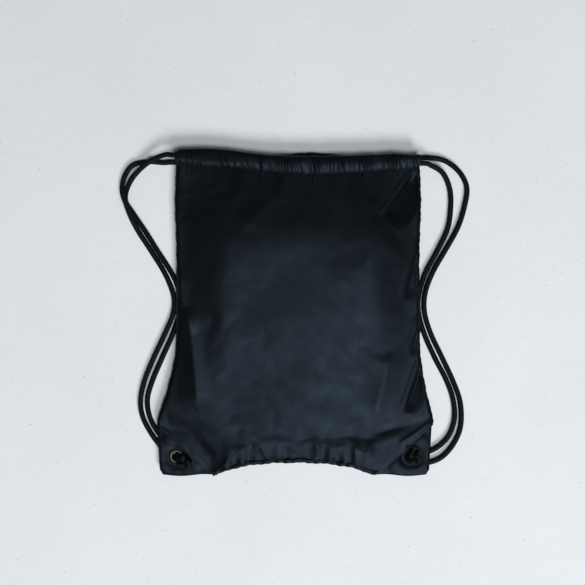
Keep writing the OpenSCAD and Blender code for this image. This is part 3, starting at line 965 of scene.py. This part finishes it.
def ribbon(name, line, across, width, low, high, pucker_seed):
    """A sewn edge: a soft flat roll that follows a line, with puckers where it is stitched."""
    line = np.asarray(line, float)
    forward = unit(np.gradient(line, axis=0))
    out = np.cross(forward, (0, 0, 1)) * across
    along = distance_along(line)
    angle = 2 * math.pi * np.arange(ROLL_ROUND) / ROLL_ROUND
    cos = np.sign(np.cos(angle)) * np.abs(np.cos(angle)) ** 0.7
    sin = np.sign(np.sin(angle)) * np.abs(np.sin(angle)) ** 0.7
    pucker = 0.35 * ripples(pucker_seed, along, 0 * along, 0.011)
    pucker = pucker + 0.2 * ripples(pucker_seed + 1, along, 0 * along, 0.004)
    low, high = np.zeros(len(line)) + low, np.zeros(len(line)) + high
    middle, half_z = (low + high) / 2, (high - low) / 2
    rings = [
        p + out[i] * ((cos * (1 + 0.07 * pucker[i]) - 1) * width / 2)[:, None]
        + np.array([0, 0, 1]) * (middle[i] + half_z[i] * sin * (1 + 0.2 * pucker[i]))[:, None]
        for i, p in enumerate(line)
    ]
    points = np.vstack(rings + [line[:1] + (0, 0, middle[0]), line[-1:] + (0, 0, middle[-1])])
    points[-2:] -= np.stack([out[0], out[-1]]) * width / 2
    count = len(line) * ROLL_ROUND
    last = count - ROLL_ROUND
    faces = grid_faces(len(line), ROLL_ROUND, closed=True)
    faces += [(count, (k + 1) % ROLL_ROUND, k) for k in range(ROLL_ROUND)]
    faces += [(count + 1, last + k, last + (k + 1) % ROLL_ROUND) for k in range(ROLL_ROUND)]
    return piece(name, points, faces, "seam_nylon")


def make_side_seam(word, side, mouth):
    """The joined edges of the two panels on one side."""
    y = np.linspace(PATCH_TOP_Y, SEAM_TOP_Y, 230)
    line = np.stack([side * (side_x(y, mouth) + edge_wave(y) + 0.0006), y, 0 * y], axis=1)
    seam = ribbon(word + "_side_roll", line, side, 0.0046, seam_low.z + 0.0012, seam_high.z - 0.0016,
                  41 if side < 0 else 43)
    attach(seam, word + "_side")
    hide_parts(word + "_side_seam")


def stitches(name, line, length, gap, width, height):
    """A row of thread stitches on a line of points."""
    along = distance_along(line)
    starts = np.arange(gap / 2, along[-1] - length, length + gap)
    points, faces = [], []
    sides = 6
    spots = np.array([0.0, 0.12, 0.5, 0.88, 1.0])
    swell = np.array([0.25, 0.85, 1.0, 0.85, 0.25])
    for start in starts:
        at = start + spots * length
        centre = np.stack([np.interp(at, along, line[:, k]) for k in range(3)], axis=1)
        forward = unit(centre[-1] - centre[0])
        aside = unit(np.cross(forward, (0, 0, 1)))
        first = len(points)
        for c, s in zip(centre, swell):
            dip = (1 - s) * height * 0.8
            for k in range(sides):
                a = 2 * math.pi * k / sides
                points.append(c + aside * math.cos(a) * width / 2 * s
                              + np.array([0, 0, 1]) * (math.sin(a) * height / 2 * s - dip))
        faces += grid_faces(len(spots), sides, first, closed=True)
        faces.append(tuple(first + k for k in reversed(range(sides))))
        faces.append(tuple(first + (len(spots) - 1) * sides + k for k in range(sides)))
    return piece(name, points, faces, "thread")


for word, side, mouth in (("left", -1, MOUTH_LEFT), ("right", 1, MOUTH_RIGHT)):
    make_side_seam(word, side, mouth)


def place_bottom(made, node):
    """Three stretches of the bottom: the outer two have their placement baked in, the middle one rides the
    bag.
    """
    blend_sides(made[0])
    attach(made[1], "bag")
    blend_sides(made[2])
    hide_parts(node)


def make_bottom_seam():
    """The joined bottom edges, a soft roll that arches up between the patches."""
    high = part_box("bottom_seam")[1]
    reach = PATCH_TIP + 0.0015
    spans = (("left", -reach, -SPLIT_X), ("middle", -SPLIT_X, SPLIT_X), ("right", SPLIT_X, reach))
    made = []
    for part, a, b in spans:
        x = np.linspace(a, b, int((b - a) / 0.0011))
        y = bottom_y(x) - 0.0006 + 0.0003 * np.sin(x * 620) + 0.0005 * np.sin(x * 190)
        y = y - 0.0019 * smoothstep((np.abs(x) - 0.07) / 0.03)
        thin = smoothstep((np.abs(x) - 0.07) / 0.034)     # the roll gets thinner towards the patches
        line = np.stack([x, y, 0 * x], axis=1)
        made.append(ribbon("bottom_roll_" + part, line, 1, 0.0078, 0.0012 - 0.0006 * thin,
                           high.z + 0.0004 - 0.0042 * thin, 51))
    place_bottom(made, "bottom_seam")


make_bottom_seam()


def patch_outline_x(y, side):
    """Outer edge of a corner patch."""
    return side * np.interp(y, [BOTTOM_Y - 0.002, BOTTOM_Y + 0.006, PATCH_TOP_Y],
                            [HALF_W - 0.0085, HALF_W - 0.0035, HALF_W])


def patch_height(x, y, side, pivot):
    """Top of a corner patch: it is flat under the grommet and soft and crowned round it."""
    near = np.hypot(x - pivot[0], y - pivot[1])
    clear = smoothstep((near - 0.0088) / 0.012)
    swell = 0.0013 + 0.00022 * ripples(61 if side < 0 else 62, x, y, 0.03)
    swell = swell + 0.00006 * ripples(63, x, y, 0.012)
    rays = 0.0002 * np.sin(7 * np.arctan2(y - pivot[1], x - pivot[0])) * np.exp(-near / 0.016)
    slack = crease(x, y, (side * 0.165, -0.165), (side * 0.128, -0.199), 0.0012, 0.006, 0.006, 0.01)
    return PATCH_Z + (swell + rays + slack) * clear


PATCH_HOLE = 0.0058     # radius of the hole for the grommet
HOLE_REACH = 2.6        # the cloth is pushed outwards up to this many radii from the middle of the hole


def make_patch(word, side, pivot):
    """A corner patch: a puffed triangle of cloth, with the grommet's hole through it."""
    rows, columns = 78, 64
    u, v = np.meshgrid(np.linspace(0, 1, rows), np.linspace(0, 1, columns), indexing="ij")
    tip = np.array([side * (PATCH_TIP - 0.004), BOTTOM_Y])
    bottom = BOTTOM_Y - 0.0014 + 0.0012 * np.sin(2.2 * math.pi * u)
    top = BOTTOM_Y + (PATCH_TOP_Y - BOTTOM_Y) * u
    y = bottom + (np.maximum(top + 0.0006, bottom + 0.0012) - bottom) * v
    x = tip[0] + (patch_outline_x(y, side) - tip[0]) * u
    rim = np.minimum(np.minimum(u * 8, (1 - u) * 22), np.minimum(v * (0.6 + 9 * u), (1 - v) * (0.6 + 9 * u)))
    round_off = np.sqrt(np.clip(1 - (1 - np.clip(rim, 0, 1)) ** 2, 0, 1))
    thick = PATCH_Z - patch_low.z
    middle = patch_low.z + thick * 0.45
    top_z = middle + (patch_height(x, y, side, pivot) - middle) * round_off
    low_z = middle - (middle - patch_low.z) * round_off
    near = np.stack([x - pivot[0], y - pivot[1]], axis=-1)
    gap = np.linalg.norm(near, axis=-1, keepdims=True)
    pushed = np.where(gap < HOLE_REACH * PATCH_HOLE, PATCH_HOLE + gap * (1 - 1 / HOLE_REACH), gap)
    plan = np.array(pivot)[:2] + near / np.maximum(gap, 1e-9) * pushed
    grid = np.concatenate([plan, top_z[..., None]], axis=-1)
    under = np.concatenate([plan, low_z[..., None]], axis=-1)
    count = rows * columns
    order = grid_faces(rows, columns)
    centres = np.array([np.mean(np.stack([x, y], -1).reshape(-1, 2)[list(f)], axis=0) for f in order])
    order = [f for f, c in zip(order, centres) if np.hypot(c[0] - pivot[0], c[1] - pivot[1]) > 0.0011]
    top_faces = order if side < 0 else [f[::-1] for f in order]
    faces = top_faces + [tuple(count + k for k in reversed(f)) for f in top_faces]
    edges = dict.fromkeys(edge for f in top_faces for edge in zip(f, f[1:] + f[:1]))
    faces += [(b, a, a + count, b + count) for a, b in edges if (b, a) not in edges]
    points = np.vstack([grid.reshape(-1, 3), under.reshape(-1, 3)])
    made = piece(word + "_corner_cloth", points, faces, "patch_nylon")
    blend_sides(made)
    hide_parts(word + "_corner_patch")


SIDES = (("left", -1, left_pivot), ("right", 1, right_pivot))
for word, side, pivot in SIDES:
    make_patch(word, side, pivot)


def make_casing_stitches(word):
    """The row of thread that closes a casing, in the same strips as the casing."""
    front = word == "front"
    spans = (-MOUTH_LEFT + 0.003, -SPLIT_X, 0, SPLIT_X, MOUTH_RIGHT - 0.003)
    angle = math.pi - 0.24 if front else math.pi + 0.24
    for (part, side, outside), a, b in zip(STRIPS, spans, spans[1:]):
        x = np.linspace(a, b, int((b - a) / 0.0006))
        line = casing_surface(x, angle + 0 * x, *casing_band(front), front)
        row = stitches(f"{word}_casing_thread_{part}", line, STITCH, STITCH_GAP, 0.0006, 0.0005)
        blend_strip(row, outside, front)
    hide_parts(word + "_casing_stitching")


for word in ("front", "back"):
    make_casing_stitches(word)


def make_bottom_stitches():
    """The row of thread over the bottom roll."""
    spans = (("left", -ARCH_HALF, -SPLIT_X), ("middle", -SPLIT_X, SPLIT_X), ("right", SPLIT_X, ARCH_HALF))
    made = []
    for part, a, b in spans:
        x = np.linspace(a, b, 120)
        y = bottom_y(x) + 0.0085
        line = np.stack([x, y, front_height(x, y) + 0.0002], axis=1)
        made.append(stitches("bottom_thread_" + part, line, STITCH, STITCH_GAP, 0.0005, 0.0004))
    place_bottom(made, "bottom_stitching")


make_bottom_stitches()


def make_patch_stitches(word, side, pivot):
    """Thread round a corner patch, a little inside its edges."""
    corners = np.array([
        (side * (HALF_W - 0.0055), PATCH_TOP_Y - 0.009), (side * (HALF_W - 0.0085), BOTTOM_Y + 0.005),
        (side * (PATCH_TIP + 0.017), BOTTOM_Y + 0.005), (side * (HALF_W - 0.0055), PATCH_TOP_Y - 0.009),
    ])
    at = np.linspace(0, 3, 240)
    x, y = (np.interp(at, range(4), corners[:, k]) for k in (0, 1))
    z = patch_height(x, y, side, pivot) + 0.0001
    row = stitches(word + "_patch_thread", np.stack([x, y, z], axis=1), STITCH, STITCH_GAP, 0.0005, 0.0005)
    blend_sides(row)
    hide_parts(word + "_patch_stitching")


for word, side, pivot in SIDES:
    make_patch_stitches(word, side, pivot)


def make_bartack(word):
    """Dense stitches side by side that lock the top of a side seam."""
    low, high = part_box(word + "_bartack")
    made = []
    for k in range(9):
        x = low.x + (high.x - low.x) * (k + 0.5) / 9
        line = np.array([(x - 0.0002, low.y, high.z), (x + 0.0002, high.y, high.z)])
        made.append(stitches(f"{word}_bartack_{k}", line, 0.0021, 0.0002, 0.00055, 0.0006))
    bpy.ops.object.select_all(action="DESELECT")
    for o in made:
        o.select_set(True)
    bpy.context.view_layer.objects.active = made[0]
    bpy.ops.object.join()
    made[0].name = word + "_bartack_thread"
    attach(made[0], word + "_side")
    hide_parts(word + "_bartack")


for word in ("left", "right"):
    make_bartack(word)


# --- grommets
LATHE_SIDES = 96


def lathe(name, profile, centre):
    """A closed ring, turned from a profile of radius and height."""
    turn = 2 * math.pi * np.arange(LATHE_SIDES) / LATHE_SIDES
    points = [
        (centre[0] + r * math.cos(a), centre[1] + r * math.sin(a), z) for a in turn for r, z in profile
    ]
    count = len(profile)
    faces = []
    for i in range(LATHE_SIDES):
        here, after = i * count, ((i + 1) % LATHE_SIDES) * count
        for j in range(count):
            above = (j + 1) % count
            faces.append((here + j, here + above, after + above, after + j))
    return piece(name, points, faces, "grommet_metal")


def make_grommet(word, pivot):
    """An eyelet: a barrel through the patch and a domed flange that is rolled over it."""
    low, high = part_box(word + "_grommet")
    outer = (high.x - low.x) / 2
    bore = 0.005
    wall = 0.0009
    middle, half = (bore + outer) / 2, (outer - bore) / 2
    dome = [
        (middle + half * math.cos(a), PATCH_Z + 0.00005 + (FLANGE_Z - PATCH_Z) * max(math.sin(a), 0) ** 0.85)
        for a in np.linspace(math.pi, -0.35, 26)
    ]
    profile = ([(bore, low.z), (bore, low.z + 0.0015)] + dome
               + [(bore + wall + 0.0004, PATCH_Z), (bore + wall, low.z + 0.0015), (bore + wall, low.z)])
    made = lathe(word + "_eyelet", profile, pivot)
    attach(made, word + "_side")
    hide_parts(word + "_grommet")


for word, _, pivot in SIDES:
    make_grommet(word, pivot)
    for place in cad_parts[word + "_grommet_washer"].material_slots:
        place.material = MATERIALS["grommet_metal"]


# --- floor and light
LAMP_COLOUR = (1.0, 0.985, 0.965)


def make_light(name, place, size, power):
    """A round soft light that is aimed at the middle of the bag."""
    data = bpy.data.lights.new(name, "AREA")
    data.shape = "DISK"
    data.size = size
    data.energy = power
    data.color = LAMP_COLOUR
    light = bpy.data.objects.new(name, data)
    light.location = place
    light.rotation_euler = (-Vector(place)).to_track_quat("-Z", "Y").to_euler()
    bpy.context.collection.objects.link(light)


def make_world(colour, strength):
    world = bpy.data.worlds.new("soft_room")
    world.use_nodes = True
    background = world.node_tree.nodes["Background"]
    background.inputs["Color"].default_value = (*colour, 1)
    background.inputs["Strength"].default_value = strength
    bpy.context.scene.world = world


floor_corners = [(-3, -3, 0), (3, -3, 0), (3, 3, 0), (-3, 3, 0)]
mesh_object("floor", floor_corners, [(0, 1, 2, 3)], floor_paint("floor_paint"))
make_light("high_window", (0.45, -1.1, 4.2), 1.3, 80)
make_light("low_window", (1.9, -4.2, 4.1), 2.4, 262)
make_world((0.86, 0.93, 1.0), 0.12)
